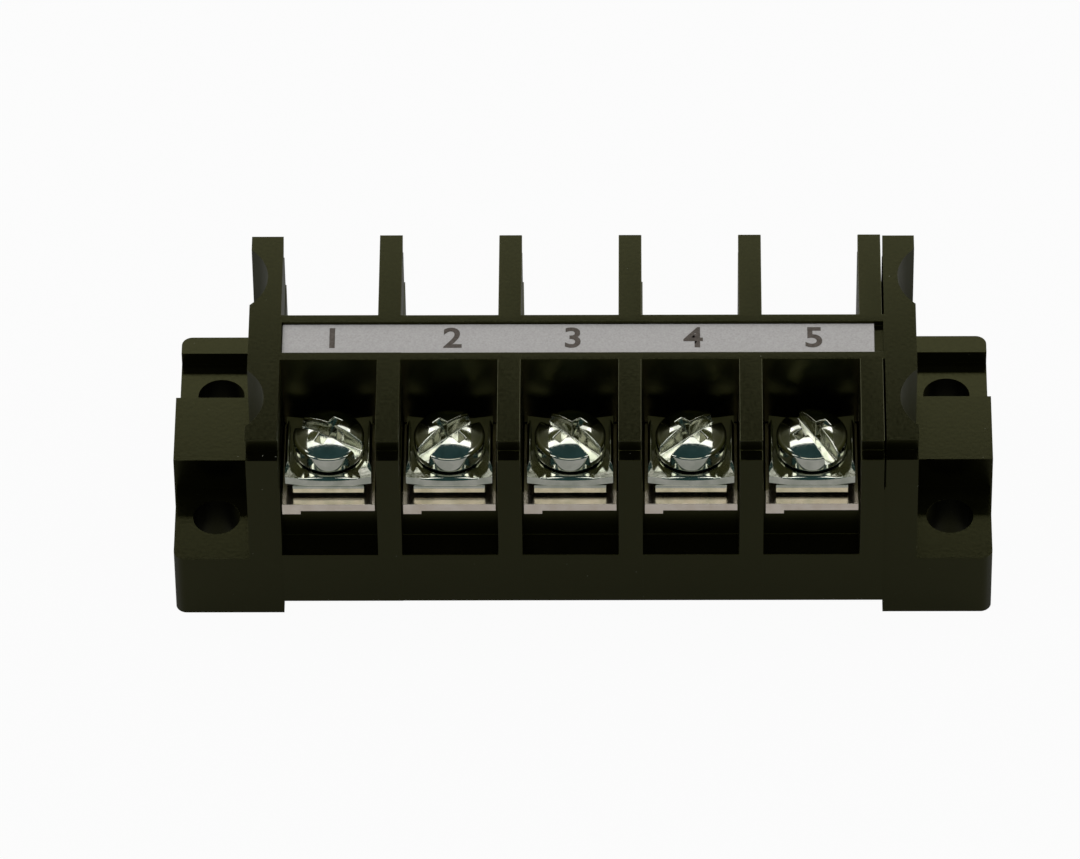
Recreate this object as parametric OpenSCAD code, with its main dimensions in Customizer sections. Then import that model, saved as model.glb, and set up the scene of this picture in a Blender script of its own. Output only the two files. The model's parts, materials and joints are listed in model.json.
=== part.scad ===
// Barrier terminal strip built from separate pole modules.
// Two flanged end pieces and a row of pole modules are drawn together by a tie rod.
// Each pole has a conductor bar that runs under its centre wall, with a screw clamp at
// its front and a push-on tab at its rear. A marker strip lies in the channel along the top.
// X runs along the row, Y from front (-) to rear (+), Z up.
// The origin is the bottom centre of the end pieces, on the mounting surface.

/* [Row] */
// Number of poles
poles = 5; // [2:1:8]
// Distance from one pole to the next
pitch = 13; // [11.7:0.1:15]
// Height of the barrier tops above the mounting surface
top_z = 26.8; // [26:0.1:31]

/* [Pole module] */
// Depth of a pole module, front to rear
module_depth = 31.8; // [31.4:0.1:34]
// Gap under the modules, down to the mounting surface
module_lift = 2.2; // [1:0.05:3]
// Thickness of the barrier at the right of each module
barrier_t = 2.6; // [2.2:0.05:2.9]
// How far a barrier's face stands back from the next module
barrier_relief = 0.1; // [0.05:0.05:0.5]
// Height above which the barriers stand back
relief_z = 19.4; // [18.2:0.1:21]
// Height of the apron wall under the front alcove, and of the rear bay's floor
apron_z = 9.4; // [8.8:0.1:10.5]
// Wall left between the collar's well and the alcove in front of it
well_wall = 0.4; // [0.2:0.1:1.2]
// How far the bar's seat reaches behind the centre wall
seat_out = 1.5; // [0.8:0.1:2.5]
// Thickness of the centre wall
spine_t = 6.8; // [6:0.1:7.4]
// Width of the marker channel in the top of the centre wall
channel_w = 4.6; // [3.5:0.1:5]
// Depth of the marker channel
channel_depth = 0.7; // [0.5:0.05:1.2]
// Height of the snap groove under each barrier's top corner
snap_h = 2.8; // [2.2:0.1:3.4]
// Depth of the snap groove
snap_depth = 1.5; // [1:0.1:1.8]
// Thickness of the lip that overhangs the snap groove
snap_lip = 0.15; // [0.1:0.05:0.4]
// How far a barrier's lip stands back from the module's face
lip_back = 0.2; // [0.05:0.05:0.6]
// Depth of the cored pockets in the underside
pocket_h = 3.6; // [2:0.1:3.8]
// Wall left round the cored pockets
pocket_wall = 1.4; // [1:0.1:2]

/* [Module pegs] */
// Radius of the pegs that line up neighbouring modules
peg_r = 1.2; // [0.8:0.1:1.4]
// Length of the pegs
peg_len = 1.2; // [0.8:0.1:1.6]
// Distance of the pegs from the centre plane
peg_y = 11.9; // [11.5:0.1:12.4]
// Height of the pegs
peg_z = 6; // [5:0.1:6.6]

/* [Conductor bar] */
// Height of the bar's underside
bar_z = 16; // [15:0.1:16.8]
// Thickness of the bar
bar_t = 1; // [0.8:0.05:1.3]
// How far the bar's front end stops short of the module's face
bar_inset = 0.25; // [0.1:0.05:1]
// Gap between the bar and the barriers at its sides
bar_gap_x = 0.2; // [0.1:0.05:0.5]
// Outer radius of the threaded collars under the bar
collar_r = 2.5; // [2.4:0.05:2.7]
// Length of the threaded collars below the bar
collar_h = 1.2; // [0.6:0.1:1.8]
// Width of the small foot turned down at the bar's front end
foot_w = 2; // [1:0.1:3]
// How far the foot reaches below the bar
foot_h = 0.5; // [0.3:0.05:0.8]
// Thickness of the foot
foot_t = 0.6; // [0.4:0.05:0.9]

/* [Push-on tab] */
// Width of the tab
tab_w = 6.3; // [4.8:0.1:7]
// Thickness of the tab
tab_t = 0.8; // [0.5:0.05:0.8]
// Length of the tab behind the bar's seat
tab_len = 7.8; // [6.4:0.1:8.5]
// Radius of the detent hole in the tab
tab_hole_r = 0.85; // [0.6:0.05:1]
// Distance of the detent hole from the tab's tip
tab_hole_y = 3.8; // [3:0.1:4.5]
// Size of the bevels on the tab's tip
tab_bevel = 0.8; // [0.4:0.1:1.2]

/* [Clamp screws] */
// Distance of the screws behind the modules' front face
screw_in = 6.1; // [5.8:0.1:7]
// Radius of the shank over its thread
shank_r = 1.98; // [1.7:0.01:2.1]
// Length of the shank below the head
shank_len = 8; // [5:0.1:8.4]
// Gap between the head and the walls at its sides
head_gap_x = 1.37; // [1.2:0.01:1.8]
// Height of the head's side, up to the dome
head_side_h = 1.85; // [1.2:0.05:2]
// Whole height of the head
head_h = 2.9; // [2.4:0.1:3.1]
// Radius of the rounded shoulder between side and dome
shoulder_r = 0.45; // [0.3:0.05:0.7]
// Width of the slot
slot_w = 1.6; // [0.8:0.05:1.8]
// Height of the slot's floor above the underside of the head
slot_floor = 0.65; // [0.4:0.05:1.4]
// Width of the cross recess's arms
cross_w = 1; // [0.7:0.05:1.3]
// Reach of the cross recess at the top of the head
cross_r = 2.35; // [1.8:0.05:2.6]
// Depth of the cross recess
cross_depth = 2.2; // [1.6:0.1:2.4]

/* [Clamp washers] */
// Opening between the pressure plate and the bar, with the clamp half a turn loose
clamp_open = 0.4; // [0.05:0.05:0.8]
// Thickness of the flat pressure plate
plate_t = 1.2; // [0.6:0.05:1.3]
// Gap between the pressure plate and the walls at its sides
plate_gap_x = 1.25; // [0.6:0.05:2]
// Depth of both washers, front to rear
washer_depth = 9.2; // [8.6:0.1:9.6]
// Thickness of the upper clamp washer
washer_t = 1; // [0.5:0.05:1.1]
// Gap between the clamp washer and the walls at its sides
washer_gap_x = 0.55; // [0.4:0.05:0.55]
// Half width of the clamp washer's flat middle
washer_flat = 2.6; // [1.6:0.1:3]
// How far the clamp washer's sides rise from its middle
washer_rise = 0.35; // [0.1:0.05:0.45]
// Height of the turned-up wings above the washer's sides
wing_h = 0.85; // [0.3:0.05:1]
// Thickness of the wings at their foot
wing_t = 0.5; // [0.3:0.05:0.5]
// How far the wings lean in over the washer
wing_lean = 0.25; // [0.1:0.05:0.3]
// Length of the wings
wing_len = 6.2; // [4:0.1:8]

/* [End pieces] */
// Depth of the end walls, front to rear
end_depth = 31; // [30:0.1:32]
// Thickness of the end walls
end_wall_t = 3.55; // [3.2:0.05:4.5]
// Height of the snap groove in the end walls
end_snap_h = 3.2; // [2.2:0.1:3.6]
// Reach of the mounting flange beyond the end wall
flange_len = 8.25; // [8:0.05:10]
// Thickness of the mounting flange
flange_t = 8.4; // [8:0.1:10]
// Radius of the flange's outer corners, seen from above
corner_r = 1.2; // [0.6:0.1:2]
// How far the flange's rear edge stands behind the end wall
rim_out = 1.2; // [0.4:0.1:1.5]
// Front-to-rear thickness of the rim along the flange's rear edge
rim_t = 2.5; // [1.5:0.1:2.7]
// Height of that rim above the flange
rim_h = 1.65; // [1:0.05:2.5]
// Front-to-rear width of the nut block between the mounting holes
block_w = 9.55; // [8.5:0.05:10]
// Height of the nut block above the flange
block_h = 4.3; // [3:0.1:5]
// How far the nut block stands out past the flange's end
block_out = 0.2; // [0.1:0.05:0.5]

/* [Mounting holes] */
// Radius of the mounting holes
hole_r = 2.55; // [2:0.05:2.7]
// Distance of the holes from the end wall's outer face
hole_out = 3.75; // [3.4:0.05:4.2]
// Distance of the holes from the centre plane
hole_y = 9.2; // [9:0.1:9.6]
// Radius of the driver clearance grooves in the end walls
groove_r = 5.65; // [5:0.05:5.8]

/* [Tie rod] */
// Radius of the tie rod
rod_r = 1.5; // [1.2:0.1:1.6]
// Height of the tie rod
rod_z = 7; // [6.4:0.1:7.4]
// Nut size across its flats
nut_af = 5.5; // [5:0.1:5.8]
// Thickness of a nut
nut_t = 2.4; // [1.8:0.1:3]
// How deep a nut's outer face lies in its pocket
nut_sunk = 1.4; // [1:0.1:2]

/* [Marker strip] */
// Thickness of the marker strip
marker_t = 0.4; // [0.2:0.05:0.5]
// How far the strip stops short of the last barrier's outer face
marker_short = 1; // [0.3:0.1:3]

/* [Hidden] */
// Clearances of the fits
joint_gap = 0.02;     // between one module and the next
slide_gap = 0.1;      // bar in its slot, marker strip in its channel, nut in its pocket
thread_gap = 0.05;    // shank in its collar, rod in its nut
rod_gap = 0.1;        // rod in the modules
peg_gap = 0.08;       // peg in its socket
washer_bore_gap = 0.2;

// Sizes that follow
row_len = poles * pitch;
bay_w = pitch - barrier_t;
half_depth = module_depth / 2;
bar_w = bay_w - 2 * bar_gap_x;
bar_top = bar_z + bar_t;
seat_y = spine_t / 2 + seat_out;
clamp_x = bay_w / 2;
screw_y = half_depth - screw_in;
head_r = bay_w / 2 - head_gap_x;
plate_w = bay_w - 2 * plate_gap_x;
plate_z = bar_top + clamp_open;
washer_edge = bay_w / 2 - washer_gap_x;
washer_z = plate_z + plate_t + joint_gap;
head_rise = washer_rise * (head_r - washer_flat) / (washer_edge - washer_flat);
head_z = washer_z + washer_t + head_rise + joint_gap;
well_r = shank_r + 0.4;
well_z = head_z - clamp_open - shank_len - 0.6;
collar_well_r = collar_r + slide_gap;
step_y = screw_y + collar_well_r + well_wall;
collar_well_h = collar_h + slide_gap;
wall_out = row_len / 2 + end_wall_t;
end_x = wall_out + flange_len;
block_x = end_x + block_out;
nut_x = block_x - nut_sunk - nut_t;
hole_x = wall_out + hole_out;
eps = 0.01;

// Turning angle of each screw's slot, seen from above
slot_turn = [-30, -136, -44, -138, -57, -80, -20, -110];

black = [0.09, 0.09, 0.075];
zinc = [0.78, 0.8, 0.78];
plated = [0.86, 0.8, 0.76];
marker_grey = [0.68, 0.66, 0.65];
steel = [0.6, 0.61, 0.62];

ids = [for (i = [1:poles]) i];

$fn = 48;

// Left edge of pole i
function pole_x(i) = (i - 1) * pitch - row_len / 2;

// A child profile drawn in Y and Z, carried along X from x0 to x1
module along_x(x0, x1) {
    translate([x0, 0, 0]) rotate([90, 0, 90]) linear_extrude(x1 - x0) children();
}

// Undercut groove of height h below the top corners of a wall, for a cover that snaps on
module snap_profile(half, h, back) {
    lip_y = half - back;
    lip_z = top_z - snap_lip;
    for (side = [-1, 1])
        polygon([
            [side * (half + 1), top_z + 1],
            [side * lip_y, top_z + 1],
            [side * lip_y, lip_z],
            [side * (half - snap_depth), lip_z - snap_depth + back],
            [side * (half - snap_depth), top_z - h],
            [side * (half + 1), top_z - h]
        ]);
}

// Front-to-rear section of the moulding between two barriers
module bay_profile() {
    translate([-half_depth, module_lift]) square([module_depth, apron_z - module_lift]);
    translate([-step_y, module_lift]) square([step_y + seat_y, bar_z - module_lift]);
    translate([-spine_t / 2, bar_top + slide_gap])
        square([spine_t, top_z - bar_top - slide_gap]);
}

module barrier_profile() {
    difference() {
        translate([-half_depth, module_lift]) square([module_depth, top_z - module_lift]);
        snap_profile(half_depth, snap_h, lip_back);
    }
}

// Channel for the marker strip, cut along the whole module
module channel_cut(x0, x1) {
    along_x(x0, x1)
        translate([-channel_w / 2, top_z - channel_depth]) square([channel_w, channel_depth + 1]);
}

// Face of a barrier set back from its neighbour above relief_z, beside the centre wall
module relief_cut(x) {
    for (side = [-1, 1])
        translate([x - barrier_relief, side > 0 ? spine_t / 2 : -half_depth - 1, relief_z])
            cube([barrier_relief + 1, half_depth + 1 - spine_t / 2, top_z]);
}

// Wells under the clamp: the bar's collar and the end of the screw
module clamp_well() {
    translate([0, 0, bar_z - collar_well_h]) cylinder(r = collar_well_r, h = collar_well_h + 1);
    translate([0, 0, well_z]) cylinder(r = well_r, h = bar_z - well_z);
}

// Cored pockets in the underside, either side of the tie rod
module underside_pockets() {
    inner_y = rod_r + rod_gap + pocket_wall;
    outer_y = peg_y - peg_r - peg_gap - pocket_wall / 2;
    for (side = [-1, 1])
        translate([pocket_wall, side > 0 ? inner_y : -outer_y, module_lift - 1])
            cube([bay_w - pocket_wall, outer_y - inner_y, pocket_h + 1]);
}

module pegs(x) {
    for (side = [-1, 1])
        translate([x, side * peg_y, peg_z]) rotate([0, 90, 0]) cylinder(r = peg_r, h = peg_len);
}

module peg_sockets(x) {
    for (side = [-1, 1])
        translate([x - 1, side * peg_y, peg_z]) rotate([0, 90, 0])
            cylinder(r = peg_r + peg_gap, h = peg_len + peg_gap + 1);
}

module rod_hole(x0, x1) {
    translate([x0, 0, rod_z]) rotate([0, 90, 0]) cylinder(r = rod_r + rod_gap, h = x1 - x0);
}

// One pole: an open bay with a barrier on its right
module pole_module(i) {
    right = pitch - joint_gap;
    color(black) translate([pole_x(i), 0, 0]) difference() {
        union() {
            along_x(0, bay_w + eps) bay_profile();
            along_x(bay_w, right) barrier_profile();
            pegs(right - eps);
        }
        channel_cut(-1, pitch + 1);
        relief_cut(right);
        translate([clamp_x, -screw_y, 0]) clamp_well();
        underside_pockets();
        peg_sockets(0);
        rod_hole(-1, pitch + 1);
    }
}

// Push-on tab seen from above, from its root at y = 0 to its bevelled tip
module tab_plan() {
    half = tab_w / 2;
    difference() {
        polygon([
            [-half, 0], [half, 0], [half, tab_len - tab_bevel], [half - tab_bevel, tab_len],
            [tab_bevel - half, tab_len], [-half, tab_len - tab_bevel]
        ]);
        translate([0, tab_len - tab_hole_y]) circle(r = tab_hole_r);
    }
}

// Side section of the tab, thinned towards its tip
module tab_side() {
    thin = tab_t / 4;
    polygon([
        [-1, 0], [tab_len - tab_bevel, 0], [tab_len, thin],
        [tab_len, tab_t - thin], [tab_len - tab_bevel, tab_t], [-1, tab_t]
    ]);
}

module push_on_tab() {
    intersection() {
        linear_extrude(tab_t) tab_plan();
        along_x(-tab_w, tab_w) tab_side();
    }
}

// Bar that joins a pole's screw clamp, under the centre wall, to its push-on tab
module conductor_bar(i) {
    front = -half_depth + bar_inset;
    color(plated) translate([pole_x(i) + clamp_x, 0, bar_z]) difference() {
        union() {
            translate([-bar_w / 2, front, 0]) cube([bar_w, seat_y - front, bar_t]);
            translate([0, -screw_y, -collar_h]) cylinder(r = collar_r, h = collar_h + eps);
            translate([-bar_w / 2, front, -foot_h]) cube([foot_w, foot_t, foot_h + eps]);
            translate([0, seat_y - eps, (bar_t - tab_t) / 2]) push_on_tab();
        }
        translate([0, -screw_y, -collar_h - 1])
            cylinder(r = shank_r + thread_gap, h = collar_h + bar_t + 2);
    }
}

// Flat plate that presses the wire onto the bar
module pressure_plate() {
    color(zinc) translate([0, 0, plate_z]) difference() {
        translate([-plate_w / 2, -washer_depth / 2, 0]) cube([plate_w, washer_depth, plate_t]);
        translate([0, 0, -1]) cylinder(r = shank_r + washer_bore_gap, h = plate_t + 2);
    }
}

// Upper washer: its sides rise a little and end in turned-up wings
module clamp_washer() {
    wing_z = washer_rise + washer_t + wing_h;
    color(zinc) translate([0, 0, washer_z]) difference() {
        union() {
            rotate([90, 0, 0]) translate([0, 0, -washer_depth / 2]) linear_extrude(washer_depth)
                polygon([
                    [-washer_flat, 0], [washer_flat, 0], [washer_edge, washer_rise],
                    [washer_edge, washer_rise + washer_t], [washer_flat, washer_t],
                    [-washer_flat, washer_t], [-washer_edge, washer_rise + washer_t],
                    [-washer_edge, washer_rise]
                ]);
            rotate([90, 0, 0]) translate([0, 0, -wing_len / 2]) linear_extrude(wing_len)
                for (side = [-1, 1])
                    polygon([
                        [side * (washer_edge - wing_t), washer_t],
                        [side * washer_edge, washer_t],
                        [side * washer_edge, washer_rise + washer_t],
                        [side * (washer_edge - wing_lean), wing_z],
                        [side * (washer_edge - wing_lean - wing_t / 4), wing_z]
                    ]);
        }
        translate([0, 0, -1]) cylinder(r = shank_r + washer_bore_gap, h = washer_t + 2);
    }
}

// Half section of the pan head: straight side, rounded shoulder, domed top
module head_half_section() {
    rise = head_h - head_side_h;
    dome_r = (head_r * head_r + rise * rise) / (2 * rise);
    intersection() {
        union() {
            square([head_r - shoulder_r, head_h]);
            square([head_r, head_side_h - shoulder_r / 2]);
            translate([head_r - shoulder_r, head_side_h - shoulder_r / 2])
                circle(r = shoulder_r);
        }
        translate([0, head_h - dome_r]) circle(r = dome_r, $fn = 180);
        square([head_r, head_h]);
    }
}

// Pan head screw with a slot across a cross recess
module screw() {
    color(zinc) translate([0, 0, head_z]) difference() {
        union() {
            rotate_extrude($fn = 96) head_half_section();
            translate([0, 0, -shank_len]) cylinder(r = shank_r, h = shank_len + eps);
        }
        translate([-head_r - 1, -slot_w / 2, slot_floor])
            cube([2 * head_r + 2, slot_w, head_h]);
        intersection() {
            translate([0, 0, head_h - cross_depth])
                cylinder(r1 = 0.35 * cross_r, r2 = cross_r, h = cross_depth);
            union() {
                for (turn = [0, 90]) rotate(turn)
                    translate([-cross_r, -cross_w / 2, head_h - cross_depth])
                        cube([2 * cross_r, cross_w, cross_depth + eps]);
            }
        }
    }
}

// Places a clamp piece over the front end of pole i's bar
module at_clamp(i, turn = 0) {
    translate([pole_x(i) + clamp_x, -screw_y, 0]) rotate(turn) children();
}

// Outline of the flange from above, with round outer corners
module flange_plan() {
    front = -end_depth / 2;
    rear = end_depth / 2 + rim_out;
    x0 = row_len / 2 + end_wall_t - eps;
    translate([x0, front]) square([end_x - corner_r - x0, rear - front]);
    translate([x0, front + corner_r]) square([end_x - x0, rear - front - 2 * corner_r]);
    for (y = [front + corner_r, rear - corner_r])
        translate([end_x - corner_r, y]) circle(r = corner_r);
}

// End wall with its driver grooves and snap grooves
module end_wall() {
    difference() {
        along_x(row_len / 2, wall_out) difference() {
            translate([-end_depth / 2, 0]) square([end_depth, top_z]);
            snap_profile(end_depth / 2, end_snap_h, 0);
        }
        for (side = [-1, 1])
            translate([hole_x, side * hole_y, flange_t])
                cylinder(r = groove_r, h = top_z, $fn = 96);
    }
}

// Shape that both end pieces share, drawn at the right end of the row
module end_body() {
    rear = end_depth / 2 + rim_out;
    difference() {
        union() {
            end_wall();
            linear_extrude(flange_t) flange_plan();
            translate([0, 0, flange_t - eps]) linear_extrude(rim_h + eps) intersection() {
                flange_plan();
                translate([0, rear - rim_t]) square([end_x, rim_t]);
            }
            translate([wall_out - eps, -block_w / 2, 0])
                cube([block_x - wall_out + eps, block_w, flange_t + block_h]);
        }
        for (side = [-1, 1])
            translate([hole_x, side * hole_y, -1]) cylinder(r = hole_r, h = flange_t + 2);
        rod_hole(row_len / 2 - 1, block_x + 1);
        translate([nut_x, 0, rod_z]) rotate([0, 90, 0])
            cylinder(d = (nut_af + 2 * slide_gap) / cos(30), h = nut_t + nut_sunk + 1, $fn = 6);
    }
}

module end_piece_right() {
    color(black) difference() {
        end_body();
        mirror([1, 0, 0]) translate([-row_len, 0, 0]) relief_cut(row_len / 2);
        peg_sockets(row_len / 2);
    }
}

module end_piece_left() {
    color(black) {
        mirror([1, 0, 0]) difference() {
            end_body();
            mirror([1, 0, 0]) translate([-row_len, 0, 0]) relief_cut(row_len / 2);
        }
        pegs(-row_len / 2 - eps);
    }
}

module marker_strip() {
    left = -row_len / 2 + slide_gap;
    right = row_len / 2 - marker_short;
    color(marker_grey)
        translate([left, -channel_w / 2 + slide_gap / 2, top_z - channel_depth])
            cube([right - left, channel_w - slide_gap, marker_t]);
}

module tie_rod() {
    end = nut_x + nut_t + 0.5;
    color(steel) translate([-end, 0, rod_z]) rotate([0, 90, 0]) cylinder(r = rod_r, h = 2 * end);
}

module tie_nut() {
    color(steel) translate([nut_x, 0, rod_z]) rotate([0, 90, 0]) difference() {
        cylinder(d = nut_af / cos(30), h = nut_t, $fn = 6);
        translate([0, 0, -1]) cylinder(r = rod_r + thread_gap, h = nut_t + 2);
    }
}

end_piece_left();
end_piece_right();
for (i = ids) {
    pole_module(i);
    conductor_bar(i);
    at_clamp(i) pressure_plate();
    at_clamp(i) clamp_washer();
    at_clamp(i, slot_turn[i - 1]) screw();
}
marker_strip();
tie_rod();
mirror([1, 0, 0]) tie_nut();  // tie_nut_left
tie_nut();  // tie_nut_right
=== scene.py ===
"""Barrier terminal strip: finishes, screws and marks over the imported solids.

All lengths are metres in the row's frame: X along the row, -Y the front, Z up.
"""
import json
import math

import bmesh
import bpy
import numpy as np
from mathutils import Matrix, Quaternion, Vector


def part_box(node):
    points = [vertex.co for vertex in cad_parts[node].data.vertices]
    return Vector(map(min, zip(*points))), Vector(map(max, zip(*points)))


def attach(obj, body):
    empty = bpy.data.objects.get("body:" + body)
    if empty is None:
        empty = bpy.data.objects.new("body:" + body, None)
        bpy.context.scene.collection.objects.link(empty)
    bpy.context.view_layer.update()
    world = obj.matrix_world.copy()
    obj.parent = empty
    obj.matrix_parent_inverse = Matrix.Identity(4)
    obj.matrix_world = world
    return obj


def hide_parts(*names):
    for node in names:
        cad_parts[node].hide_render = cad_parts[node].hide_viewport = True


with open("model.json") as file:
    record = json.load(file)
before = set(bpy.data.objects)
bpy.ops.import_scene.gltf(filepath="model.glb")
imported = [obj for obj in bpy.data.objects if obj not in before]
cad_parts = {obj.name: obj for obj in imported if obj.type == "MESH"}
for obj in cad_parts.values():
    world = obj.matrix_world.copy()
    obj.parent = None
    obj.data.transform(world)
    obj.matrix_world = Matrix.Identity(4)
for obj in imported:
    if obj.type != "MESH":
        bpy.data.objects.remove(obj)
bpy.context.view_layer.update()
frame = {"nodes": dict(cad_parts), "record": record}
nodes = frame["nodes"]
poles = sorted(int(n.rsplit("_", 1)[1]) for n in nodes if n.startswith("pole_module_"))
BODY_OF = {n: b for b, group in frame["record"]["behaviour"]["bodies"].items() for n in group}
MM = 0.001


def put_in_scene(name, data):
    """A new object of the given data, at the origin."""
    thing = bpy.data.objects.new(name, data)
    bpy.context.scene.collection.objects.link(thing)
    return thing


# ---------------------------------------------------------------- camera
ELEVATION, SWING, ROLL = (math.radians(v) for v in (45.62, 0.98, -0.81))
DISTANCE, NEAREST, FARTHEST = 1.09, 0.05, 20
LENS, SENSOR = 336.73, 36
AIM_X, AIM_Y, AIM_BELOW_TOP = -4.58 * MM, -7.08 * MM, 7.05 * MM


def make_camera():
    """A long lens above the front, DISTANCE away from a point near the row's middle."""
    data = bpy.data.cameras.new("camera")
    data.lens, data.sensor_width = LENS, SENSOR
    data.clip_start, data.clip_end = NEAREST, FARTHEST
    camera = put_in_scene("camera", data)
    level = math.cos(ELEVATION)
    away = Vector((math.sin(SWING) * level, -math.cos(SWING) * level, math.sin(ELEVATION)))
    aim = Vector((AIM_X, AIM_Y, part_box("end_piece_left")[1].z - AIM_BELOW_TOP))
    camera.location = aim + away * DISTANCE
    camera.rotation_mode = "QUATERNION"
    turned = (-away).to_track_quat("-Z", "Y")
    camera.rotation_quaternion = turned @ Quaternion((0, 0, 1), ROLL)
    return camera


bpy.context.scene.camera = make_camera()
bpy.context.scene.view_settings.view_transform = "Standard"


# ---------------------------------------------------------------- node helpers
FLOAT = "NodeSocketFloat"


class Tree:
    """Adds nodes to one node tree and links them by socket names or places."""

    def __init__(self, tree):
        self.tree = tree

    def add(self, kind, **settings):
        node = self.tree.nodes.new(kind)
        for key, value in settings.items():
            setattr(node, key, value)
        return node

    def link(self, a, a_name, b, b_name):
        self.tree.links.new(a.outputs[a_name], b.inputs[b_name])


def new_group(name, inputs, outputs):
    """An empty node group with named inputs {name: (socket type, value)} and outputs."""
    group = bpy.data.node_groups.new(name, "ShaderNodeTree")
    for key, (kind, value) in inputs.items():
        socket = group.interface.new_socket(key, in_out="INPUT", socket_type=kind)
        socket.default_value = value
    for key, kind in outputs.items():
        group.interface.new_socket(key, in_out="OUTPUT", socket_type=kind)
    t = Tree(group)
    return group, t, t.add("NodeGroupInput"), t.add("NodeGroupOutput")


def set_inputs(node, values):
    """Sets a node's unlinked sockets from {socket name: value}."""
    for key, value in values.items():
        node.inputs[key].default_value = value


def colour_stops(t, source, name, stops):
    """Turns a share from 0 to 1 into a colour between two stops [(place, colour), ...]."""
    colours = t.add("ShaderNodeValToRGB")
    for element, (place, colour) in zip(colours.color_ramp.elements, stops):
        element.position = place
        element.color = (*colour, 1)
    t.link(source, name, colours, "Fac")
    return colours


def span(t, source, name, low, high, to_low=0.0, to_high=1.0):
    """Maps source from low..high onto to_low..to_high, and holds it there."""
    node = t.add("ShaderNodeMapRange")
    set_inputs(node, {"From Min": low, "From Max": high, "To Min": to_low, "To Max": to_high})
    t.link(source, name, node, "Value")
    return node


def laid_over(t, mask, mask_name, under, over):
    """Lays the colour over on the colour node under, where the mask is 1."""
    mix = t.add("ShaderNodeMix", data_type="RGBA")
    factor, first, second = 0, 6, 7
    mix.inputs[second].default_value = (*over, 1)
    t.link(mask, mask_name, mix, factor)
    t.link(under, "Color", mix, first)
    return mix


def larger_of(t, a, a_name, b, b_name):
    """The larger of two values at each point."""
    node = t.add("ShaderNodeMath", operation="MAXIMUM")
    t.link(a, a_name, node, 0)
    t.link(b, b_name, node, 1)
    return node


def share_of(t, source, name, share):
    """The source's value times a fixed share."""
    node = t.add("ShaderNodeMath", operation="MULTIPLY")
    node.inputs[1].default_value = share
    t.link(source, name, node, 0)
    return node


# ---------------------------------------------------------------- lamps and room
def soft_lamp(name, place, size, radiance, look_at=(0, 0, 0), colour=(1, 1, 1)):
    """A rectangular soft box that shows the given radiance, turned to face look_at.

    A lamp's radiance is its power over four times its area.
    """
    data = bpy.data.lights.new(name, "AREA")
    data.shape = "RECTANGLE"
    data.size, data.size_y = size
    data.energy = radiance * 4 * size[0] * size[1]
    data.color = colour
    lamp = put_in_scene(name, data)
    lamp.location = place
    lamp.rotation_mode = "QUATERNION"
    facing = Vector(look_at) - Vector(place)
    lamp.rotation_quaternion = facing.to_track_quat("-Z", "Y")


# A card close behind the row, whose upper edge the level tops mirror.
soft_lamp("rear_card", (0, 0.26, 0.14), (0.9, 0.28), 1.05, (0, 0, 0.135))
# A narrow bank high over the row, mirrored by faces that slope a little to the front.
soft_lamp("light_bank", (0, 0.36, 1.14), (1.6, 0.24), 1.45)
# A warm box high in front, which shows in corners between upright and level faces.
soft_lamp("front_box", (0, -0.95, 0.95), (1.3, 0.5), 0.62, colour=(1, 0.95, 0.86))
# Boxes at both ends and rear corners, for a plain level of light on the matt surfaces.
for side in (-1, 1):
    soft_lamp(f"side_box_{side + 2}", (side * 1.0, 0.0, 0.72), (1.3, 0.9), 2.1)
    soft_lamp(f"corner_box_{side + 2}", (side * 0.75, 0.95, 0.62), (0.5, 0.7), 1.1)

ROOM = [(0.2, (0.022, 0.052, 0.056)), (0.4, (0.052, 0.056, 0.022))]


def dark_room():
    """A room that turns from teal to olive front to back, and is white to the camera."""
    world = bpy.data.worlds.new("studio")
    world.use_nodes = True
    bpy.context.scene.world = world
    world.node_tree.nodes.clear()
    t = Tree(world.node_tree)
    output = t.add("ShaderNodeOutputWorld")
    shade = t.add("ShaderNodeBackground")
    seen = t.add("ShaderNodeBackground")
    seen.inputs["Color"].default_value = (1, 1, 1, 1)
    where = t.add("ShaderNodeTexCoord")
    split = t.add("ShaderNodeSeparateXYZ")
    t.link(where, "Generated", split, "Vector")
    room = colour_stops(t, split, "Y", ROOM)
    t.link(room, "Color", shade, "Color")
    rays = t.add("ShaderNodeLightPath")
    choose = t.add("ShaderNodeMixShader")
    t.link(rays, "Is Camera Ray", choose, "Fac")
    t.link(shade, "Background", choose, 1)
    t.link(seen, "Background", choose, 2)
    t.link(choose, "Shader", output, "Surface")


dark_room()


# ---------------------------------------------------------------- finishes
SPECK_SCALE, SPECK_LOW, SPECK_HIGH = 3200, 0.88, 0.91
GRAIN_DETAIL, CLOUD_DETAIL = 3.0, 2.0


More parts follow.
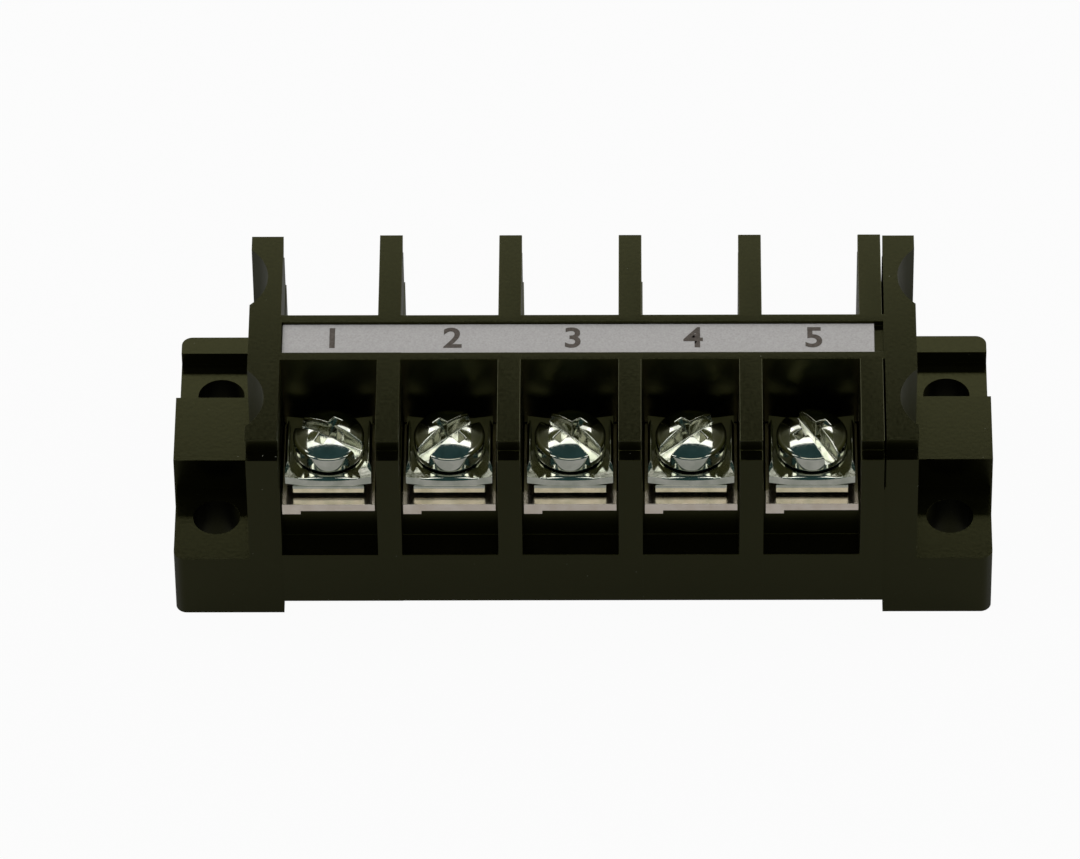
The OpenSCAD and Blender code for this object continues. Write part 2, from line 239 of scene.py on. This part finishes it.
def grain_group():
    """Fine moulded grain, slow clouding and dust.

    Grain is noise at the grain's size; Cloud is noise at some millimetres; Dust is the
    highest peaks of a third noise, sharpened by a smooth step.
    """
    group, t, given, put = new_group(
        "moulded_grain",
        {"Grain Size": (FLOAT, 0.0003), "Cloud Size": (FLOAT, 0.006)},
        {"Grain": FLOAT, "Cloud": FLOAT, "Dust": FLOAT},
    )
    where = t.add("ShaderNodeTexCoord")
    for name, detail in (("Grain", GRAIN_DETAIL), ("Cloud", CLOUD_DETAIL)):
        invert = t.add("ShaderNodeMath", operation="DIVIDE")
        invert.inputs[0].default_value = 1.0
        t.link(given, f"{name} Size", invert, 1)
        noise = t.add("ShaderNodeTexNoise")
        noise.inputs["Detail"].default_value = detail
        t.link(where, "Object", noise, "Vector")
        t.link(invert, 0, noise, "Scale")
        t.link(noise, "Fac", put, name)
    specks = t.add("ShaderNodeTexNoise")
    set_inputs(specks, {"Scale": SPECK_SCALE, "Detail": 0})
    t.link(where, "Object", specks, "Vector")
    peaks = t.add("ShaderNodeMapRange", interpolation_type="SMOOTHSTEP")
    set_inputs(peaks, {"From Min": SPECK_LOW, "From Max": SPECK_HIGH})
    t.link(specks, "Fac", peaks, "Value")
    t.link(peaks, "Result", put, "Dust")
    return group


MOULDED_GRAIN = grain_group()
GRAIN_SPAN, CLOUD_SPAN, INK_SPAN = (0.3, 0.7), (0.35, 0.65), (0.3, 0.75)
BUMP_HEIGHT = 0.00003


def start_material(name, grain_size, cloud_size):
    """A material with a Principled shader and the shared grain at its own sizes."""
    material = bpy.data.materials.new(name)
    material.use_nodes = True
    t = Tree(material.node_tree)
    shader = material.node_tree.nodes["Principled BSDF"]
    effect = t.add("ShaderNodeGroup")
    effect.node_tree = MOULDED_GRAIN
    set_inputs(effect, {"Grain Size": grain_size, "Cloud Size": cloud_size})
    return material, t, shader, effect


def varied_colour(t, effect, name, reach, low, high):
    """A colour that goes from low to high with one of the grain group's values."""
    return colour_stops(t, span(t, effect, name, *reach), "Result", [(0, low), (1, high)])


def add_bump(t, effect, name, strength, shader):
    """Raises the surface a little by one of the grain group's values."""
    bump = t.add("ShaderNodeBump")
    set_inputs(bump, {"Strength": strength, "Distance": BUMP_HEIGHT})
    t.link(effect, name, bump, "Height")
    t.link(bump, "Normal", shader, "Normal")


MATT_WALLS = (("X", 0.5), ("Y", 0.3))
WALL_FROM, WALL_TO = 0.3, 0.8
DUST_COLOUR = (0.12, 0.12, 0.1)


def black_moulding(name, low, high, rough_low, rough_high):
    """Black thermoset: near-black body, level faces glossy, upright walls matt, some dust.

    The roughness is the largest of the level faces' own, which drifts with the grain,
    and each wall's, which comes in as the normal turns towards X or Y.
    """
    m, t, shader, effect = start_material(name, 0.0004, 0.003)
    colour = varied_colour(t, effect, "Cloud", CLOUD_SPAN, low, high)
    dusty = laid_over(t, effect, "Dust", colour, DUST_COLOUR)
    blended = 2
    t.link(dusty, blended, shader, "Base Color")
    rough = span(t, effect, "Grain", *GRAIN_SPAN, rough_low, rough_high)
    facing = t.add("ShaderNodeTexCoord")
    split = t.add("ShaderNodeSeparateXYZ")
    t.link(facing, "Normal", split, "Vector")
    for way, matt_value in MATT_WALLS:
        amount = t.add("ShaderNodeMath", operation="ABSOLUTE")
        t.link(split, way, amount, 0)
        matt = span(t, amount, 0, WALL_FROM, WALL_TO, 0, matt_value)
        rough = larger_of(t, rough, 0, matt, "Result")
    t.link(rough, 0, shader, "Roughness")
    set_inputs(shader, {"Specular IOR Level": 0.35, "Specular Tint": (1.0, 1.0, 0.28, 1)})
    add_bump(t, effect, "Grain", 0.14, shader)
    return m


def metal(name, low, high, rough_low, rough_high):
    """Plated metal whose colour and gloss drift slowly over the surface."""
    m, t, shader, effect = start_material(name, 0.00025, 0.0016)
    colour = varied_colour(t, effect, "Cloud", CLOUD_SPAN, low, high)
    t.link(colour, "Color", shader, "Base Color")
    shader.inputs["Metallic"].default_value = 1.0
    rough = span(t, effect, "Grain", *GRAIN_SPAN, rough_low, rough_high)
    t.link(rough, "Result", shader, "Roughness")
    add_bump(t, effect, "Cloud", 0.25, shader)
    return m


def marker_card():
    """Matt grey card with a faint fibre grain."""
    m, t, shader, effect = start_material("marker_card", 0.0002, 0.004)
    colour = varied_colour(t, effect, "Grain", GRAIN_SPAN, (0.3, 0.285, 0.28), (0.37, 0.355, 0.35))
    t.link(colour, "Color", shader, "Base Color")
    set_inputs(shader, {"Roughness": 0.6, "Specular IOR Level": 0.2})
    return m


def marker_ink():
    """Dark brown-grey print, paler where the grain peaks."""
    m, t, shader, effect = start_material("marker_ink", 0.0002, 0.002)
    low, high = (0.055, 0.045, 0.038), (0.1, 0.085, 0.075)
    colour = varied_colour(t, effect, "Grain", INK_SPAN, low, high)
    t.link(colour, "Color", shader, "Base Color")
    set_inputs(shader, {"Roughness": 0.7, "Specular IOR Level": 0.1})
    return m


# Each is a name, its two colours, and its lowest and highest roughness.
MOULDING = black_moulding(
    "black_moulding", (0.0003, 0.0003, 0.0002), (0.001, 0.001, 0.0006), 0.15, 0.22)
# The same black moulding made lighter, for the rounded edges only: a painted edge highlight.
MOULDING_PAINTED_EDGE_HIGHLIGHT = black_moulding(
    "moulding_painted_edge_highlight", (0.0008, 0.0008, 0.0005), (0.008, 0.0075, 0.005), 0.2, 0.34)
ZINC = metal("zinc_plate", (0.52, 0.54, 0.46), (0.68, 0.68, 0.6), 0.06, 0.13)
PLATED = metal("plated_conductor", (0.84, 0.73, 0.62), (0.94, 0.84, 0.74), 0.14, 0.24)
STEEL = metal("rod_steel", (0.5, 0.51, 0.52), (0.62, 0.63, 0.63), 0.25, 0.4)
CARD = marker_card()
INK = marker_ink()


# ---------------------------------------------------------------- mesh helpers
MERGE, ON_FACE = 2e-6, 2e-6


def points_of(mesh):
    """The mesh's corner points as an array of rows."""
    points = np.empty(len(mesh.vertices) * 3)
    mesh.vertices.foreach_get("co", points)
    return points.reshape(-1, 3)


def grid_mesh(name, points, material):
    """A closed tube of rings from points[ring, step, xyz], its ends closed by fans.

    The faces join each point to the next one round its ring and the next ring along,
    and each end's points to their mean.
    """
    rings, steps, _ = points.shape
    ring, step = np.meshgrid(np.arange(rings - 1), np.arange(steps), indexing="ij")
    here, beyond = ring * steps, (ring + 1) * steps
    after = (step + 1) % steps
    quads = np.stack([here + step, here + after, beyond + after, beyond + step], axis=-1)
    first = rings * steps
    last = first - steps
    step = np.arange(steps)
    after = (step + 1) % steps
    start_fan = np.stack([after, step, np.full(steps, first)], axis=-1)
    end_fan = np.stack([last + step, last + after, np.full(steps, first + 1)], axis=-1)
    verts = np.vstack([points.reshape(-1, 3), points[0].mean(axis=0), points[-1].mean(axis=0)])
    mesh = bpy.data.meshes.new(name)
    faces = quads.reshape(-1, 4).tolist() + start_fan.tolist() + end_fan.tolist()
    mesh.from_pydata(verts.tolist(), [], faces)
    mesh.materials.append(material)
    mesh.shade_smooth()
    return mesh


def drawn_mesh(piece):
    """A new mesh of the object as it looks with its modifiers or text made up."""
    bpy.context.view_layer.update()
    graph = bpy.context.evaluated_depsgraph_get()
    return bpy.data.meshes.new_from_object(piece.evaluated_get(graph))


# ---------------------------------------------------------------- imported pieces
ROW = ["end_piece_left", *(f"pole_module_{n}" for n in poles), "end_piece_right"]
TOUCH, SPARE = 1e-7, 1e-6
EDGE_TURN, FLAT_TURN = math.radians(28), math.radians(0.5)


def find_seams():
    """For each piece of the row, its mating faces as (x, push) pairs.

    A piece's mating face is its farthest points that stay short of the next piece, and
    the push is half of the gap to it, less a hair.
    """
    seams = {name: [] for name in ROW}
    for one, following in zip(ROW, ROW[1:]):
        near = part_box(following)[0].x
        x = points_of(nodes[one].data)[:, 0]
        far = x[x <= near + TOUCH].max()
        push = max((near - far) / 2 - SPARE, 0.0)
        seams[one].append((float(far), push))
        seams[following].append((near, -push))
    return seams


SEAMS = find_seams()


def close_seams(mesh, name):
    """Moves a piece's mating faces out by nearly half the fit gap beside each."""
    points = points_of(mesh)
    for x, push in SEAMS[name]:
        points[np.abs(points[:, 0] - x) < ON_FACE, 0] += push
    mesh.vertices.foreach_set("co", points.ravel())


def bevel_weights(mesh, name):
    """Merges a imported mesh, clears its flat faces and marks the edges to be rounded.

    An edge is rounded where its faces turn by more than EDGE_TURN, except where it lies
    in a face that mates with the next piece of the row.
    """
    work = bmesh.new()
    work.from_mesh(mesh)
    bmesh.ops.remove_doubles(work, verts=work.verts, dist=MERGE)
    bmesh.ops.dissolve_limit(
        work, angle_limit=FLAT_TURN, verts=work.verts, edges=work.edges, delimit=set())
    mating = [x for x, _ in SEAMS.get(name, [])]
    weight = work.edges.layers.float.new("bevel_weight_edge")
    for face in work.faces:
        face.smooth = True
    for edge in work.edges:
        turned = len(edge.link_faces) == 2 and edge.calc_face_angle(0) > EDGE_TURN
        mates = any(all(abs(v.co.x - x) < ON_FACE for v in edge.verts) for x in mating)
        edge[weight] = 1.0 if turned and not mates else 0.0
        edge.smooth = not mates
    work.to_mesh(mesh)
    work.free()


WASHER_T, SCOOP_HALF, SCOOP_DEPTH, SCOOP_REACH = 1.0 * MM, 3.2 * MM, 0.3 * MM, 0.5 * MM
SCOOP_SLOPE = math.tan(math.radians(24))
SCOOP_STEPS = 25


def scoop_washer(mesh, name):
    """Cuts a shallow scoop into the front edge of a washer, thin at both ends.

    The cutter is a row of three-cornered sections. At x from the middle its slanted
    underside meets the front face depth * (1 - (x / half)^2) below the washer's top.
    """
    low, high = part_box(name)
    middle, top = (low.x + high.x) / 2, low.z + WASHER_T
    x = np.linspace(-SCOOP_HALF, SCOOP_HALF, SCOOP_STEPS)
    depth = SCOOP_DEPTH * (1 - (x / SCOOP_HALF) ** 2)
    back = depth / SCOOP_SLOPE + SCOOP_REACH
    across = x + middle
    front = np.full(SCOOP_STEPS, low.y - SCOOP_REACH)
    bottom, upper = top - depth - SCOOP_REACH * SCOOP_SLOPE, top - depth + back * SCOOP_SLOPE
    section = np.stack([
        np.stack([across, front, bottom], axis=-1),
        np.stack([across, low.y + back, upper], axis=-1),
        np.stack([across, front, upper], axis=-1),
    ], axis=1)
    cutter = put_in_scene("washer_cutter", grid_mesh("washer_cutter", section, ZINC))
    blank = put_in_scene("washer_blank", mesh)
    work = bmesh.new()
    for piece in (cutter, blank):
        work.from_mesh(piece.data)
        bmesh.ops.remove_doubles(work, verts=work.verts, dist=MERGE)
        bmesh.ops.recalc_face_normals(work, faces=work.faces)
        work.to_mesh(piece.data)
        work.clear()
    work.free()
    cut = blank.modifiers.new("cut", "BOOLEAN")
    cut.operation, cut.solver, cut.object = "DIFFERENCE", "EXACT", cutter
    shape = drawn_mesh(blank)
    bpy.data.objects.remove(cutter)
    bpy.data.objects.remove(blank)
    shape.materials.clear()
    shape.materials.append(ZINC)
    return shape


def smooth_copy(name, material, radius, segments=2, edge_highlight_material=None):
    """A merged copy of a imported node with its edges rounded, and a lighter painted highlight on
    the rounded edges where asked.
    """
    mesh = nodes[name].data.copy()
    mesh.materials.clear()
    mesh.materials.append(material)
    if name.startswith("clamp_washer"):
        mesh = scoop_washer(mesh, name)
    bevel_weights(mesh, name)
    if name in SEAMS:
        close_seams(mesh, name)
    piece = put_in_scene(f"{name}_finished", mesh)
    edge = piece.modifiers.new("edge", "BEVEL")
    edge.width, edge.segments = radius, segments
    edge.limit_method = "WEIGHT"
    edge.use_clamp_overlap = True
    # The rounded edges take the lighter finish, which paints a highlight along them.
    if edge_highlight_material:
        mesh.materials.append(edge_highlight_material)
        edge.material = 1
    flats = piece.modifiers.new("flats", "WEIGHTED_NORMAL")
    flats.weight = 100
    flats.keep_sharp = True
    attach(piece, BODY_OF[name])
    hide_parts(name)


# How the names start, with the finish, edge radius, bevel segments and the lighter finish that
# paints a highlight on the rounded edges.
FINISHES = {
    "end_piece": (MOULDING, 0.12 * MM, 2, MOULDING_PAINTED_EDGE_HIGHLIGHT),
    "pole_module": (MOULDING, 0.12 * MM, 2, MOULDING_PAINTED_EDGE_HIGHLIGHT),
    "conductor_bar": (PLATED, 0.1 * MM),
    "marker_strip": (CARD, 0.05 * MM),
    "tie_": (STEEL, 0.1 * MM),
    "clamp_washer": (ZINC, 0.2 * MM, 3),
    "pressure_plate": (ZINC, 0.2 * MM, 3),
}
for name in sorted(nodes):
    for start, finish in FINISHES.items():
        if name.startswith(start):
            smooth_copy(name, *finish)


# ---------------------------------------------------------------- clamp screws
# All in mm, with the bearing face under the head at height 0. The head's outline:
HEAD_R, SIDE_H, HEAD_H, SHOULDER = 3.83, 1.85, 2.9, 0.42
SHOULDER_FALL, SIDE_END, MIDDLE_R = 0.95, 0.12, 0.02
# Rings under the head, each so far in from its side and so high, then the neck.
UNDER_HEAD, NECK = [(0.03, 0.04), (0.12, 0.0), (0.5, 0.0)], 0.2
SLOT_W, SLOT_DEPTH, SLOT_RISE = 1.6, 2.25, 0.1
CROSS_W, CROSS_R, CROSS_DEPTH, CROSS_FLOOR_R = 1.0, 2.35, 2.2, 0.8
WALL_OUT, WALL_IN = 0.06, 0.04
# The shank, whose thread ends THREAD_END above the tip's end.
SHANK_R, SHANK_LEN, LEAD = 1.98, 8.0, 0.7
THREAD_START, THREAD_END = -0.02, 0.5
THREAD_DEPTH, THREAD_FLATS, RUN_OUT = 0.36, (0.1, 0.95), 0.8
# Rings of the tip, each so far in from the thread's crest and so high above its end.
TIP = [(0.25, 0.15), (0.6, 0.0)]
# How finely the dome, shoulder, side and thread are ringed, and each ring is stepped.
DOME_RINGS, SHOULDER_RINGS, SIDE_RINGS, THREAD_RINGS, STEPS = 92, 9, 13, 150, 360
# Which way each screw's slot points, in degrees from +X.
SLOT_TURN = [-30, -136, -44, -138, -57]


def smooth_step(value, low, high):
    """0 below low, 1 above high, and the cubic 3t^2 - 2t^3 between them."""
    share = np.clip((value - low) / (high - low), 0, 1)
    return share * share * (3 - 2 * share)


def screw_outline():
    """The radius and height of each ring, from the head's middle to the shank's tip.

    The outline runs over a dome of one radius, round a shoulder, down the side, in
    under the head and down the shank. With it come the number of rings above the
    underside, and the number in it.
    """
    rise = HEAD_H - SIDE_H
    dome_r = (HEAD_R**2 + rise**2) / (2 * rise)
    inner = HEAD_R - SHOULDER
    dome = np.linspace(MIDDLE_R, inner, DOME_RINGS)
    dome_z = HEAD_H - dome_r + np.sqrt(dome_r**2 - dome**2)
    start = math.asin(inner / dome_r)
    bend = np.linspace(start, math.pi / 2, SHOULDER_RINGS + 1)[1:]
    sine = math.sin(start)
    shoulder = inner + SHOULDER * (np.sin(bend) - sine) / (1 - sine)
    fall = SHOULDER * SHOULDER_FALL * (math.cos(start) - np.cos(bend)) / math.cos(start)
    shoulder_z = dome_z[-1] - fall
    side_z = np.linspace(shoulder_z[-1], SIDE_END, SIDE_RINGS + 1)[1:]
    under = [HEAD_R - inwards for inwards, _ in UNDER_HEAD] + [SHANK_R + NECK]
    under_z = [up for _, up in UNDER_HEAD] + [0.0]
    thread_z = np.linspace(THREAD_START, -SHANK_LEN + THREAD_END, THREAD_RINGS)
    tip = [SHANK_R - inwards for inwards, _ in TIP]
    tip_z = [-SHANK_LEN + up for _, up in TIP]
    radius = np.concatenate([
        dome, shoulder, np.full(SIDE_RINGS, HEAD_R), under, np.full(THREAD_RINGS, SHANK_R), tip])
    height = np.concatenate([dome_z, shoulder_z, side_z, under_z, thread_z, tip_z])
    return radius, height, DOME_RINGS + SHOULDER_RINGS + SIDE_RINGS, len(under)


def screw_points(turn):
    """Rings of a pan head screw, in mm about its axis, its bearing face at z = 0.

    Each point of the head is lowered to the slot's floor, and to the cone of the cross
    recess, by smooth steps across their walls. The thread's radius is a rounded saw in
    height / lead - angle / full turn.
    """
    radius, height, head_rings, under_rings = screw_outline()
    angle = np.linspace(0, 2 * math.pi, STEPS, endpoint=False)
    r, a = np.meshgrid(radius, angle, indexing="ij")
    z = np.repeat(height[:, None], len(angle), axis=1)
    turned = a - turn
    along, across = r * np.cos(turned), r * np.sin(turned)

    head = np.zeros_like(r)
    head[:head_rings] = 1
    floor = HEAD_H - SLOT_DEPTH + SLOT_RISE * (along / HEAD_R) ** 2
    wall = head * smooth_step(-np.abs(across), -SLOT_W / 2 - WALL_OUT, -SLOT_W / 2 + WALL_IN)
    z = np.where(z > floor, z + (floor - z) * wall, z)
    for u, v in ((along, across), (across, along)):
        share = np.clip((CROSS_R - np.abs(u)) / (CROSS_R - CROSS_FLOOR_R), 0, 1)
        cone = HEAD_H - CROSS_DEPTH * share
        wall = head * smooth_step(-np.abs(v), -CROSS_W / 2 - WALL_OUT, -CROSS_W / 2 + WALL_IN)
        z = np.minimum(z, z + (cone - z) * wall)

    saw = np.abs(((z / LEAD - turned / (2 * math.pi)) % 1) - 0.5) * 2
    shank = np.zeros_like(r)
    shank[head_rings + under_rings:] = 1
    shank *= smooth_step(z, -SHANK_LEN, -SHANK_LEN + RUN_OUT)
    r = r - shank * THREAD_DEPTH * smooth_step(saw, *THREAD_FLATS)
    return np.stack([r * np.cos(a), r * np.sin(a), z], axis=-1)


def make_screw(number):
    """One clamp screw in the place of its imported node, its slot at its own angle."""
    packed = f"clamp_screw_{number}"
    low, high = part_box(packed)
    centre = (low + high) / 2
    bearing = low.z + SHANK_LEN * MM
    turn = math.radians(SLOT_TURN[number - 1])
    points = screw_points(turn) * MM + np.array([centre.x, centre.y, bearing])
    name = f"{packed}_finished"
    screw = put_in_scene(name, grid_mesh(name, points[:, ::-1], ZINC))
    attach(screw, BODY_OF[packed])
    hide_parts(packed)


for number in poles:
    make_screw(number)


# ---------------------------------------------------------------- marks
MARK_HEIGHT, MARK_WEIGHT, MARK_X, MARK_LIFT = 4.2 * MM, 0.09 * MM, 5.5 * MM, 0.012 * MM


def make_mark(number):
    """A printed pole number, flat on the marker strip over its pole."""
    text = bpy.data.curves.new(f"mark_{number}", "FONT")
    text.body = str(number)
    text.size = MARK_HEIGHT
    text.offset = MARK_WEIGHT
    text.align_x, text.align_y = "CENTER", "CENTER"
    holder = put_in_scene("text_holder", text)
    mesh = drawn_mesh(holder)
    bpy.data.objects.remove(holder)
    pole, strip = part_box(f"pole_module_{number}"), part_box("marker_strip")
    centre = Vector((pole[0].x + MARK_X, 0, strip[1].z + MARK_LIFT))
    mesh.transform(Matrix.Translation(centre))
    mesh.materials.clear()
    mesh.materials.append(INK)
    mark = put_in_scene(f"mark_{number}", mesh)
    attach(mark, BODY_OF["marker_strip"])


for number in poles:
    make_mark(number)


# ---------------------------------------------------------------- floor
FLOOR_HALF, FLOOR_DROP, FLOOR_GREY = 3, 0.0001, 0.25
CAMERA_SHARE, GLOSS_SHARE = 0.96, 0.2


def pale_floor():
    """A wide pale floor just under the strip, which keeps its shadow.

    The camera sees CAMERA_SHARE of plain white in it, reflections and glass GLOSS_SHARE,
    and the grey paint makes up the rest.
    """
    corners = [(-1, -1), (1, -1), (1, 1), (-1, 1)]
    mesh = bpy.data.meshes.new("floor")
    mesh.from_pydata(
        [(x * FLOOR_HALF, y * FLOOR_HALF, -FLOOR_DROP) for x, y in corners], [], [(0, 1, 2, 3)])
    floor = put_in_scene("floor", mesh)
    paint = bpy.data.materials.new("floor_white")
    paint.use_nodes = True
    t = Tree(paint.node_tree)
    shader = paint.node_tree.nodes["Principled BSDF"]
    grey = (FLOOR_GREY, FLOOR_GREY, FLOOR_GREY, 1)
    set_inputs(shader, {"Base Color": grey, "Roughness": 1.0, "Specular IOR Level": 0.0})
    white = t.add("ShaderNodeEmission")
    rays = t.add("ShaderNodeLightPath")
    direct = share_of(t, rays, "Is Camera Ray", CAMERA_SHARE)
    bounced = larger_of(t, rays, "Is Glossy Ray", rays, "Is Transmission Ray")
    either = larger_of(t, direct, 0, share_of(t, bounced, 0, GLOSS_SHARE), 0)
    mix = t.add("ShaderNodeMixShader")
    t.link(either, 0, mix, 0)
    t.link(shader, "BSDF", mix, 1)
    t.link(white, "Emission", mix, 2)
    t.link(mix, "Shader", paint.node_tree.nodes["Material Output"], "Surface")
    mesh.materials.append(paint)


pale_floor()
